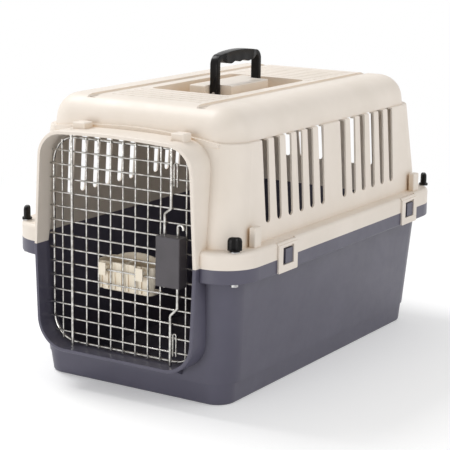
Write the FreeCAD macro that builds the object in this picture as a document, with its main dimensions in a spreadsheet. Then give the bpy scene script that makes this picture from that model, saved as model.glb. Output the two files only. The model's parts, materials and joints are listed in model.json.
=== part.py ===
import FreeCAD, Part
import math
import os
import re
import Sketcher

# Pet carrier: two moulded shells joined at a flange, a wire door in a collar, thumb nuts, side latches,
# a folding handle and a dish. Millimetres, +Z up, door towards -Y, origin at the middle of the footprint.

V = FreeCAD.Vector
doc = FreeCAD.newDocument("pet_carrier")

# Driving dimensions: name, value in millimetres (or a count, or degrees) and what it sets.
SIZES = [
    ("flange_width", 466, "across the flange at the seam"),
    ("flange_length", 746, "along the flange at the seam"),
    ("flange_corner", 66, "corner radius of the flange in plan"),
    ("flange_round", 7, "rounded upper rim of the flange"),
    ("seam_height", 241, "floor to the seam between the shells"),
    ("lower_flange", 24, "height of the bottom shell's flange"),
    ("upper_flange", 28, "height of the top shell's flange"),
    ("wall", 3.2, "moulded wall of both shells"),
    ("edge_round", 2.5, "rounded edges of moulded lips, lugs and posts"),
    ("shell_corner", 50, "vertical corner radius of the shell walls"),
    ("tub_corner", 48, "vertical corner radius of the bottom shell above its foot"),
    ("foot_corner", 34, "vertical corner radius of the foot"),
    ("plinth_height", 38, "stepped-in foot of the bottom shell"),
    ("plinth_step", 5, "how far the foot steps in"),
    ("floor_round", 5, "rounded lower edge of the foot"),
    ("base_side", 49, "flange edge to the foot at the floor, long sides"),
    ("base_front", 44, "flange edge to the foot at the floor, front"),
    ("base_rear", 32, "flange edge to the foot at the floor, rear"),
    ("tub_side", 41, "flange edge to the wall above the foot, long sides"),
    ("tub_front", 34, "flange edge to the wall above the foot, front"),
    ("tub_rear", 24, "flange edge to the wall above the foot, rear"),
    ("rim_side", 24, "flange edge to the wall at the seam, long sides"),
    ("rim_end", 16, "flange edge to the wall at the seam, both ends"),
    ("ledge_side", 36, "flange edge to the wall at the ledge, long sides"),
    ("ledge_end", 47, "flange edge to the wall at the ledge, both ends"),
    ("ledge_step", 6, "width of the ledge under the roof cap"),
    ("roof_height", 488, "floor to the roof"),
    ("ledge_drop", 54, "roof to the ledge above the vents"),
    ("roof_draft", 5, "how far the roof cap leans in"),
    ("roof_round", 44, "rounded shoulder of the roof cap"),
    ("groove_spacing", 220, "between the two roof grooves"),
    ("groove_width", 18, "roof groove"),
    ("groove_depth", 5.5, "roof groove"),
    ("groove_length", 606, "roof groove"),
    ("brow_rise", 13, "rise of the brow over the ledge"),
    ("brow_reach", 8, "brow past a side of the doorway"),
    ("collar_reach", 12, "door collar in front of the flange"),
    ("collar_wall", 6, "door collar"),
    ("door_recess", 30, "collar front to the door mesh"),
    ("sill_height", 66, "floor to the top of the sill"),
    ("doorway_drop", 59, "roof to the shoulder of the doorway"),
    ("doorway_side", 76, "flange edge to a side of the doorway at the seam"),
    ("doorway_lean", 10, "how far a side of the doorway leans in at its shoulder"),
    ("doorway_low_lean", 7, "how far a side of the doorway leans in at the sill"),
    ("doorway_arch", 6, "rise of the arched doorway top"),
    ("doorway_top_corner", 42, "corner radius of the doorway, upper"),
    ("doorway_low_corner", 50, "corner radius of the doorway, lower"),
    ("gusset_width", 18, "gussets under the sill, below the rods"),
    ("gusset_height", 15, "gussets under the sill"),
    ("lug_width", 25, "lugs over the collar"),
    ("lug_depth", 24, "lugs over the collar"),
    ("lug_height", 19, "lugs over the collar"),
    ("lug_outset", 2, "hinge rod to the outer side of its lug"),
    ("lug_inset", 6, "latch rod to the inner side of its lug"),
    ("vent_count", 6, "slots in a group"),
    ("vent_pitch", 37.2, "slot to slot"),
    ("vent_width", 20, "slot at its top"),
    ("vent_low_width", 15, "slot above its rounded end"),
    ("vent_rise", 28, "flange top to the lower ends of the slots"),
    ("vent_gap", 80, "last slot of one group to the first of the next"),
    ("vent_shift", -3, "middle of the side vents along the carrier"),
    ("post_width", 12, "tie posts on the flange, across"),
    ("post_length", 21, "tie posts on the flange, along"),
    ("post_height", 33, "tie posts on the flange"),
    ("post_inset", 11, "flange edge to a post"),
    ("post_end", 70, "flange end to the near side of a post"),
    ("bolt_inset", 23, "flange side to a corner bolt"),
    ("bolt_end", 28, "flange end to a front corner bolt"),
    ("bolt_end_rear", 22, "flange end to a rear corner bolt"),
    ("bolt_diameter", 6, "corner bolt"),
    ("bolt_head", 13, "corner bolt head across"),
    ("bolt_head_height", 4, "corner bolt head"),
    ("washer_diameter", 17, "corner washer"),
    ("washer_thickness", 1.2, "corner washer"),
    ("nut_width", 24, "thumb nut wing, long way"),
    ("nut_thickness", 11, "thumb nut wing, short way"),
    ("nut_height", 23, "thumb nut"),
    ("nut_base", 17, "thumb nut foot diameter"),
    ("run_gap", 0.08, "radial running clearance of pins and threads"),
    ("face_gap", 0.3, "clearance between faces that move past each other"),
    ("side_latch_length", 62, "side latch along the flange"),
    ("side_latch_thickness", 3.6, "side latch leaf"),
    ("side_latch_front_end", 154, "flange front to the middle of a front side latch"),
    ("side_latch_rear_end", 136, "flange rear to the middle of a rear side latch"),
    ("side_window_length", 35, "window in a side latch, along"),
    ("side_window_low", 12.5, "lower edge of a side latch to its window"),
    ("side_window_height", 31, "window in a side latch"),
    ("side_pin_drop", 5, "flange top to the side latch pin"),
    ("side_pin_diameter", 3.2, "side latch pin"),
    ("side_barrel", 7.6, "side latch barrel across"),
    ("catch_gap", 1, "catch to the edges of its window"),
    ("pocket_depth", 10, "pocket in the flange behind a side latch window"),
    ("wire_diameter", 3, "door mesh wire"),
    ("frame_diameter", 4.6, "door frame wire"),
    ("rod_diameter", 5, "hinge rod and latch rods"),
    ("mesh_columns", 11, "upright wire positions"),
    ("mesh_rows", 14, "level wires"),
    ("mesh_top_drop", 28.5, "shoulder of the doorway to the highest level wire"),
    ("mesh_low_rise", 22.5, "sill to the lowest level wire"),
    ("mesh_side_margin", 21.1, "frame wire to the nearest upright wire position"),
    ("frame_high_margin", 23, "highest level wire to the frame wire"),
    ("frame_low_margin", 18, "lowest level wire to the frame wire"),
    ("frame_clear", 3.2, "frame wire to the side of the doorway"),
    ("frame_corner", 46, "frame wire corner radius"),
    ("rod_bite", 8, "hinge rod over the shoulder of the doorway"),
    ("upper_crank", -12, "sideways crank of the upper latch rod"),
    ("upper_crank_rise", 36.5, "latch cover to the crank of the upper latch rod"),
    ("lower_crank", 13.5, "sideways crank of the lower latch rod"),
    ("lower_crank_drop", 44.5, "latch cover to the crank of the lower latch rod"),
    ("rod_bend", 5, "bend radius of the latch rods"),
    ("rod_tip_gap", 0.6, "latch rod tips to the holes that they enter"),
    ("latch_throw", 10, "travel of the latch rods"),
    ("cover_width", 46.5, "latch cover"),
    ("cover_height", 83, "latch cover"),
    ("cover_depth", 21.5, "latch cover"),
    ("cover_inset", 18, "latch rods to the left side of the latch cover"),
    ("cover_drop", 38.5, "seam to the lower end of the latch cover"),
    ("cover_wall", 2.2, "latch cover"),
    ("slider_height", 16, "finger piece on a latch rod"),
    ("slider_gap", 26, "between the two finger pieces"),
    ("spring_diameter", 9, "latch spring, outside"),
    ("spring_wire", 1.2, "latch spring"),
    ("spring_turns", 7, "latch spring"),
    ("guide_width", 8.5, "hairpin rod guides"),
    ("guide_wire", 2.4, "hairpin rod guides"),
    ("guide_height", 40, "hairpin rod guides"),
    ("upper_guide_rise", 3.5, "highest level wire to the top of the upper rod guide"),
    ("lower_guide_rise", 9.5, "lowest but one level wire to the top of the lower rod guide"),
    ("dish_width", 118, "feeding dish"),
    ("dish_depth", 48, "feeding dish"),
    ("dish_height", 49.5, "feeding dish front"),
    ("dish_drop", 37, "wire that the dish hangs on to the foot of the dish"),
    ("dish_back", 10, "feeding dish back over its front"),
    ("dish_wall", 3, "feeding dish"),
    ("dish_middle", -1, "middle of the dish from the middle of the door"),
    ("dish_clear", 2, "mesh to the feeding dish"),
    ("dish_taper", 6, "how far the dish draws in at its foot"),
    ("dish_corner", 12, "feeding dish corners"),
    ("dish_ribs", 8, "ribs on the feeding dish front"),
    ("dish_rib", 4, "width of a rib on the feeding dish"),
    ("hook_row", 8, "level wire that the dish hangs on, from the top"),
    ("hook_columns", 3, "upright wire pitches between the two dish hooks"),
    ("hook_width", 14, "dish hook"),
    ("hook_thickness", 3.2, "dish hook, front to back"),
    ("hook_drop", 9, "dish hook below the wire"),
    ("hook_rise", 5, "dish hook over the wire"),
    ("recess_width", 160, "roof recess under the handle"),
    ("recess_length", 266, "roof recess under the handle"),
    ("recess_depth", 26, "roof recess under the handle"),
    ("recess_corner", 12, "corner radius of the roof recess"),
    ("recess_middle", -25, "middle of the roof recess along the carrier"),
    ("block_left", 42, "handle block, left of the handle"),
    ("block_right", 30, "handle block, right of the handle"),
    ("block_length", 176, "handle block"),
    ("block_rise", 3, "handle block over the roof"),
    ("block_notch", 9, "handle to the stop in the handle block"),
    ("handle_middle", -4, "middle of the handle along the carrier"),
    ("handle_length", 150, "handle"),
    ("handle_height", 73, "handle pins to the top of the handle"),
    ("handle_leg", 12, "handle leg, both ways"),
    ("handle_grip", 20, "handle grip, across"),
    ("handle_grip_height", 19, "handle grip, top to finger waves"),
    ("handle_corner", 22, "outer corner radius of the handle"),
    ("handle_crown", 5, "rise of the arched grip"),
    ("handle_waves", 4, "finger waves under the grip"),
    ("handle_wave", 3, "depth of a finger wave"),
    ("handle_pivot_drop", 12, "roof to the handle pins"),
    ("handle_pin", 6, "handle pin diameter"),
    ("handle_pin_bite", 15, "handle pin in the block"),
]
sheet = doc.addObject("Spreadsheet::Sheet", "Sizes")
for row, (alias, value, note) in enumerate(SIZES, start=1):
    sheet.set(f"A{row}", str(value))
    sheet.setAlias(f"A{row}", alias)
    sheet.set(f"B{row}", note)
doc.recompute()
ALIASES = {alias for alias, value, note in SIZES}


def tie(text):
    """Turn size names in a formula into references to the sheet, working derived sizes out on the way."""
    def reference(word):
        name = word.group()
        if name in DERIVED:
            return f"({tie(DERIVED[name])})"
        return f"Sizes.{name}" if name in ALIASES else name
    return re.sub(r"[a-z_]+", reference, text)


def size(text):
    """The present value of a formula of sizes."""
    return float(sheet.evalExpression(tie(text)))


# Places that several pieces share, as formulas of the sizes.
COLLAR_FRONT = "(-(flange_length + collar_reach) / 2)"
FLANGE_FRONT = "(-(flange_length - collar_reach) / 2)"
FLANGE_REAR = "((flange_length + collar_reach) / 2)"
FLANGE_TOP = "(seam_height + upper_flange)"
FLANGE_LOW = "(seam_height - lower_flange)"
HALF_FLANGE = "(flange_width / 2)"
DOOR_Y = f"({COLLAR_FRONT} + door_recess)"
ROW_Y = f"({DOOR_Y} - wire_diameter)"
ROD_Y = f"({ROW_Y} - (wire_diameter + rod_diameter) / 2)"
LATCH_ROD_Y = f"({ROD_Y} - face_gap)"
FRAME_TOP = "(mesh_top + frame_high_margin)"
FRAME_LOW = "(mesh_low - frame_low_margin)"
HALF_FRAME = "(doorway_top_width / 2 - frame_clear + frame_diameter / 2)"
SIDE_PIN_Z = f"({FLANGE_TOP} - side_pin_drop)"
SIDE_PIN_X = "(flange_width / 2 - side_barrel / 2 + side_latch_thickness / 2)"
HANDLE_PIN_Z = "(roof_height - handle_pivot_drop)"
RECESS_FLOOR = "(roof_height - recess_depth)"
COVER_FRONT = f"({ROW_Y} - wire_diameter / 2 - cover_depth)"
HOOK_Z = "(mesh_top - hook_row * mesh_row_pitch)"
DISH_FRONT = f"({DOOR_Y} + wire_diameter / 2 + dish_clear)"
UPPER_ROD_X = "(rod_offset + upper_crank)"
LOWER_ROD_X = "(rod_offset + lower_crank)"
WINDOW_LOW = f"({FLANGE_LOW} + side_window_low)"
WINDOW_TOP = f"({WINDOW_LOW} + side_window_height)"
POCKET_TOP = f"({SIDE_PIN_Z} - side_barrel / 2 - wall)"

# Sizes that follow from the driving ones.
DERIVED = {
    "ledge_height": "roof_height - ledge_drop",
    "doorway_top": "roof_height - doorway_drop",
    "doorway_mid_width": "flange_width - 2 * doorway_side",
    "doorway_top_width": "doorway_mid_width - 2 * doorway_lean",
    "doorway_low_width": "doorway_mid_width - 2 * doorway_low_lean",
    "brow_width": "doorway_mid_width + 2 * brow_reach",
    "vent_bottom": f"{FLANGE_TOP} + vent_rise",
    "mesh_top": "doorway_top - mesh_top_drop",
    "mesh_low": "sill_height + mesh_low_rise",
    "mesh_row_pitch": "(mesh_top - mesh_low) / (mesh_rows - 1)",
    "mesh_column_pitch": f"2 * ({HALF_FRAME} - mesh_side_margin) / (mesh_columns - 1)",
    "rod_offset": "(mesh_columns - 3) / 2 * mesh_column_pitch",
    "lug_left": "-(rod_offset + lug_outset)",
    "lug_right": "rod_offset - lug_inset",
    "cover_left": "rod_offset - cover_inset",
    "cover_low": "seam_height - cover_drop",
    "upper_crank_height": "cover_low + cover_height + upper_crank_rise",
    "lower_crank_height": "cover_low - lower_crank_drop",
    "upper_guide_top": "mesh_top + upper_guide_rise",
    "lower_guide_top": "mesh_low + mesh_row_pitch + lower_guide_rise",
    "dish_low": f"{HOOK_Z} - dish_drop",
    "hook_spacing": "hook_columns * mesh_column_pitch",
    "side_latch_front": f"{FLANGE_FRONT} + side_latch_front_end",
    "side_latch_rear": f"{FLANGE_REAR} - side_latch_rear_end",
}


def bind(obj, prop, text):
    obj.setExpression(prop, tie(text))


def new_body(name):
    return doc.addObject("PartDesign::Body", name)


def sketch(body, name, plane, offset):
    """A sketch on one of the body's origin planes, moved along the plane's normal."""
    made = body.newObject("Sketcher::SketchObject", name)
    base = next(feature for feature in body.Origin.OriginFeatures if feature.Role == plane)
    made.AttachmentSupport = [(base, "")]
    made.MapMode = "FlatFace"
    bind(made, "AttachmentOffset.Base.z", offset)
    return made


def place_point(made, geometry, end, x, y):
    """Fix a sketch point by its two coordinates, each a formula of sizes."""
    for kind, text, axis in (("DistanceX", x, -2), ("DistanceY", y, -1)):
        if abs(size(text)) < 1e-9:
            made.addConstraint(Sketcher.Constraint("PointOnObject", geometry, end, axis))
        else:
            index = made.addConstraint(Sketcher.Constraint(kind, -1, 1, geometry, end, size(text)))
            bind(made, f"Constraints[{index}]", text)


def outline(made, points, arcs=None):
    """A closed outline, anticlockwise; arcs gives the outward rise of a side that is an arc."""
    arcs = arcs or {}
    first = made.GeometryCount
    spots = [V(size(x), size(y), 0) for x, y in points]
    count = len(points)
    for i in range(count):
        start, end = spots[i], spots[(i + 1) % count]
        if i in arcs:
            rise = size(arcs[i])
            chord = end - start
            outward = V(chord.y, -chord.x, 0).normalize()
            made.addGeometry(Part.Arc(start, (start + end) / 2 + outward * rise, end))
        else:
            made.addGeometry(Part.LineSegment(start, end))
    for i in range(count):
        after = first + (i + 1) % count
        made.addConstraint(Sketcher.Constraint("Coincident", first + i, 2, after, 1))
        place_point(made, first + i, 1, *points[i])
    for i, rise in arcs.items():
        (ax, ay), (bx, by) = points[i], points[(i + 1) % count]
        chord_squared = f"((({bx}) - ({ax}))^2 + (({by}) - ({ay}))^2)"
        radius = f"({chord_squared} / 4 + ({rise})^2) / (2 * ({rise}))"
        index = made.addConstraint(Sketcher.Constraint("Radius", first + i, size(radius)))
        bind(made, f"Constraints[{index}]", radius)


def rectangle(made, left, right, low, high):
    outline(made, [(left, low), (right, low), (right, high), (left, high)])


def pad(body, made, length):
    feature = body.newObject("PartDesign::Pad", made.Name + "_pad")
    feature.Profile = made
    bind(feature, "Length", length)
    doc.recompute()
    return body


def fillet(body, name, radius, wanted):
    """Round the edges of the body whose middle point and direction are wanted."""
    base = body.Tip
    names = []
    for number, edge in enumerate(base.Shape.Edges, start=1):
        middle = (edge.FirstParameter + edge.LastParameter) / 2
        if wanted(edge.valueAt(middle), edge.tangentAt(middle)):
            names.append(f"Edge{number}")
    feature = body.newObject("PartDesign::Fillet", name)
    feature.Base = (base, names)
    bind(feature, "Radius", radius)
    doc.recompute()
    return body


def upright(point, direction):
    return abs(direction.z) > 0.6


def level(point, direction):
    return abs(direction.z) < 0.3


def box(name, x, y, z):
    """A box from three pairs of formulas: lowest and highest x, y and z."""
    made = doc.addObject("Part::Box", name)
    for prop, base, (low, high) in (("Length", "x", x), ("Width", "y", y), ("Height", "z", z)):
        bind(made, prop, f"({high}) - ({low})")
        bind(made, f"Placement.Base.{base}", low)
    return made


TURNS = {
    "x": FreeCAD.Rotation(V(0, 1, 0), 90),
    "y": FreeCAD.Rotation(V(1, 0, 0), -90),
    "z": FreeCAD.Rotation(),
}


def cylinder(name, axis, start, diameter, length):
    """A round bar from a start point of formulas, along +X, +Y or +Z."""
    made = doc.addObject("Part::Cylinder", name)
    made.Placement.Rotation = TURNS[axis]
    bind(made, "Radius", f"({diameter}) / 2")
    bind(made, "Height", length)
    for base, text in zip("xyz", start):
        bind(made, f"Placement.Base.{base}", text)
    return made


def fuse(name, pieces):
    made = doc.addObject("Part::MultiFuse", name)
    made.Shapes = pieces
    made.Refine = True
    doc.recompute()
    return made


def cut(name, base, tools):
    made = doc.addObject("Part::Cut", name)
    made.Base = base
    made.Tool = tools[0] if len(tools) == 1 else fuse(name + "_tools", tools)
    doc.recompute()
    return made


def group(name, pieces):
    made = doc.addObject("Part::Compound", name)
    made.Links = pieces
    return made


def solid(name, shape):
    """A piece of bent wire, whose shape is worked out from the sizes in code."""
    made = doc.addObject("Part::Feature", name)
    made.Shape = shape
    made.Placement = FreeCAD.Placement()
    return made


def plan(side, front, rear):
    """Plan limits of a shell wall, from its distances to the edge of the flange."""
    half = f"({HALF_FLANGE} - ({side}))"
    return f"-{half}", half, f"({FLANGE_FRONT} + ({front}))", f"({FLANGE_REAR} - ({rear}))"


def tapered_block(name, low, low_plan, high, high_plan, corner, low_round=None, high_round=None):
    """A block with rounded upright corners between two plan rectangles."""
    body = new_body(name)
    wedge = body.newObject("PartDesign::AdditiveWedge", f"{name}_wedge")
    wedge.Placement.Rotation = FreeCAD.Rotation(V(1, 0, 0), 90)
    for mark, (left, right, front, rear) in (("", low_plan), ("2", high_plan)):
        bind(wedge, f"X{mark}min", left)
        bind(wedge, f"X{mark}max", right)
        bind(wedge, f"Z{mark}min", f"-({rear})")
        bind(wedge, f"Z{mark}max", f"-({front})")
    bind(wedge, "Ymin", low)
    bind(wedge, "Ymax", high)
    doc.recompute()
    fillet(body, f"{name}_corners", corner, upright)
    middle = (size(low) + size(high)) / 2
    if high_round:
        fillet(body, f"{name}_top", high_round, lambda p, d: level(p, d) and p.z > middle)
    if low_round:
        fillet(body, f"{name}_foot", low_round, lambda p, d: level(p, d) and p.z < middle)
    return body


def rounded_box(name, x, y, z, corner="edge_round", high_round="edge_round"):
    """A moulded block with rounded upright corners and a rounded top."""
    limits = (*x, *y)
    return tapered_block(name, z[0], limits, z[1], limits, corner, high_round=high_round)


def doorway(name, upper, grow, front, back, lip=None):
    """Half of the doorway, above or below the seam, grown all round and drawn from front to back."""
    body = new_body(name)
    made = sketch(body, name + "_outline", "XZ_Plane", f"-({back})")
    mid = f"(doorway_mid_width / 2 + {grow})"
    top = f"(doorway_top_width / 2 + {grow})"
    low = f"(doorway_low_width / 2 + {grow})"
    if upper:
        shoulder = f"(doorway_top + {grow})"
        points = [(f"-{mid}", "seam_height"), (mid, "seam_height"), (top, shoulder), (f"-{top}", shoulder)]
        outline(made, points, {2: "doorway_arch"})
        corner = f"doorway_top_corner + {grow}"
    else:
        sill = f"(sill_height - {grow})"
        outline(made, [(f"-{low}", sill), (low, sill), (mid, "seam_height"), (f"-{mid}", "seam_height")])
        corner = f"doorway_low_corner + {grow}"
    pad(body, made, f"({back}) - ({front})")
    seam = size("seam_height")
    fillet(body, name + "_corners", corner, lambda p, d: abs(d.y) > 0.9 and abs(p.z - seam) > 1)
    if lip:
        edge_y = size(front)
        fillet(body, name + "_lip", lip, lambda p, d: abs(p.y - edge_y) < 0.1 and abs(p.z - seam) > 1)
    return body


def corner_spots():
    """Names and formulas of the four corner bolts."""
    for end, y in (("front", f"({FLANGE_FRONT} + bolt_end)"), ("rear", f"({FLANGE_REAR} - bolt_end_rear)")):
        for side, sign in (("right", ""), ("left", "-")):
            yield f"{end}_{side}", f"{sign}({HALF_FLANGE} - bolt_inset)", y


def side_spots():
    """Names, side signs and middles of the four side latches."""
    for end, y in (("front", "side_latch_front"), ("rear", "side_latch_rear")):
        for side, sign in (("right", 1), ("left", -1)):
            yield f"{end}_{side}", sign, y


def span(sign, near, far):
    """Lowest and highest x of something between two distances from the middle, right or left of it."""
    return (near, far) if sign > 0 else (f"-({far})", f"-({near})")


def about(middle, width):
    return f"({middle}) - ({width}) / 2", f"({middle}) + ({width}) / 2"


def bolt_holes(name, low, high):
    clear = "bolt_diameter + 2 * face_gap"
    return [cylinder(f"{name}_{tag}", "z", (x, y, low), clear, f"({high}) - ({low})")
            for tag, x, y in corner_spots()]


def rod_holes(name, low, high):
    """Holes for the hinge rod and the latch rod, through the collar or the sill."""
    hinge = cylinder(f"{name}_hinge", "z", ("-rod_offset", ROD_Y, low), "rod_diameter + 2 * run_gap",
                     f"({high}) - ({low})")
    latch = cylinder(f"{name}_latch", "z", ("rod_offset", LATCH_ROD_Y, low), "rod_diameter + 2 * face_gap",
                     f"({high}) - ({low})")
    return [hinge, latch]


def side_pockets(name):
    """Pockets in the flange behind the windows of the side latches."""
    pockets = []
    for tag, sign, y in side_spots():
        across = span(sign, f"{HALF_FLANGE} - pocket_depth", f"{HALF_FLANGE} + wall")
        along = about(y, "side_window_length")
        pockets.append(box(f"{name}_pocket_{tag}", across, along, (WINDOW_LOW, POCKET_TOP)))
    return pockets


def side_catches():
    """A post in each pocket, with a nose that the lower bar of a side latch hooks under."""
    blocks = []
    top = f"{POCKET_TOP} - 2 * catch_gap"
    for tag, sign, y in side_spots():
        along = (f"{y} - side_window_length / 5", f"{y} + side_window_length / 2 - catch_gap")
        back = f"{HALF_FLANGE} - pocket_depth + 2 * catch_gap"
        blocks.append(box(f"catch_post_{tag}", span(sign, back, HALF_FLANGE), along,
                          (f"{WINDOW_LOW} - catch_gap", top)))
        reach = span(sign, back, f"{HALF_FLANGE} + side_latch_thickness / 2")
        blocks.append(box(f"catch_nose_{tag}", reach, along, (f"{WINDOW_LOW} + catch_gap", top)))
    return blocks


def bottom_shell():
    base = plan("base_side", "base_front", "base_rear")
    foot_top = plan("tub_side + plinth_step", "tub_front + plinth_step", "tub_rear + plinth_step")
    tub_low = plan("tub_side", "tub_front", "tub_rear")
    tub_high = plan("rim_side", "rim_end", "rim_end")
    inner_low = plan("base_side + wall", "base_front + wall", "base_rear + wall")
    inner_high = plan("rim_side + wall", "rim_end + wall", "rim_end + wall")
    edge = plan("0", "0", "0")
    collar_back = f"{FLANGE_FRONT} + base_front + wall"
    solids = [
        tapered_block("foot", "0", base, "plinth_height", foot_top, "foot_corner", low_round="floor_round"),
        tapered_block("tub", "plinth_height", tub_low, "seam_height", tub_high, "tub_corner"),
        tapered_block("tub_flange", FLANGE_LOW, edge, "seam_height", edge, "flange_corner",
                      low_round="edge_round"),
        doorway("collar_low", False, "collar_wall", COLLAR_FRONT, collar_back, lip="edge_round"),
    ]
    gusset_top = "(sill_height - collar_wall / 2)"
    for tag, middle in (("hinge", "-rod_offset"), ("latch", "rod_offset")):
        across = about(middle, "gusset_width")
        gusset_high = (*across, f"{COLLAR_FRONT} + door_recess / 2", collar_back)
        gusset_low = (*across, f"{FLANGE_FRONT} + tub_front - wall", collar_back)
        solids.append(tapered_block(f"gusset_{tag}", f"{gusset_top} - gusset_height", gusset_low,
                                    gusset_top, gusset_high, "edge_round / 2"))
    hollow = tapered_block("tub_inside", "wall", inner_low, "seam_height", inner_high, "tub_corner - wall")
    gate = doorway("gate_low", False, "0", f"{COLLAR_FRONT} - wall", f"{collar_back} + shell_corner")
    holes = bolt_holes("tub_hole", f"{FLANGE_LOW} - wall", "seam_height + wall")
    holes += rod_holes("sill_hole", "sill_height - collar_wall - wall", "sill_height + wall")
    tub = cut("open_tub", fuse("bottom_solid", solids), [hollow, gate] + holes + side_pockets("tub"))
    return fuse("bottom_shell", [tub] + side_catches())


def vent_outline(made, middle):
    """A slot that narrows downwards and has a rounded lower end."""
    left, right = about(middle, "vent_width")
    low_left, low_right = about(middle, "vent_low_width")
    end_rise = "vent_low_width * 0.45"
    end_top = f"vent_bottom + {end_rise}"
    outline(made, [(low_left, end_top), (low_right, end_top),
                   (right, "ledge_height"), (left, "ledge_height")], {0: end_rise})


def vents():
    """Slots through both long sides, in two groups, and one group through the rear wall."""
    side = new_body("side_vents")
    made = sketch(side, "side_vent_outline", "YZ_Plane", f"-{HALF_FLANGE}")
    count = int(size("vent_count"))
    half_run = "((vent_count - 1) * vent_pitch + vent_gap / 2)"
    for number in range(count):
        vent_outline(made, f"(vent_shift - {half_run} + {number} * vent_pitch)")
        vent_outline(made, f"(vent_shift + {half_run} - {number} * vent_pitch)")
    pad(side, made, "flange_width")
    rear = new_body("rear_vents")
    made = sketch(rear, "rear_vent_outline", "XZ_Plane", f"-{FLANGE_REAR}")
    for number in range(count):
        vent_outline(made, f"(({number} - (vent_count - 1) / 2) * vent_pitch)")
    pad(rear, made, "ledge_end + shell_corner")
    return [side, rear]


def handle_block():
    """The block that carries the handle, notched at both ends so that the handle folds to the right."""
    block = rounded_box("handle_block_solid", ("-block_left", "block_right"),
                        about("handle_middle", "block_length"),
                        (f"{RECESS_FLOOR} - wall", "roof_height + block_rise"))
    core = "(handle_length / 2 - handle_leg - face_gap)"
    notches = []
    for tag, y in (("front", ("handle_middle - block_length", f"handle_middle - {core}")),
                   ("rear", (f"handle_middle + {core}", "handle_middle + block_length"))):
        notches.append(box(f"handle_notch_{tag}", ("-block_notch", "block_right + wall"), y,
                           (RECESS_FLOOR, "roof_height + block_rise + wall")))
    for tag, y in (("front", f"handle_middle - {core} - wall"),
                   ("rear", f"handle_middle + {core} - handle_pin_bite")):
        notches.append(cylinder(f"handle_bore_{tag}", "y", ("0", y, HANDLE_PIN_Z),
                                "handle_pin + 2 * run_gap", "handle_pin_bite + wall"))
    return cut("handle_block", block, notches)


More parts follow.
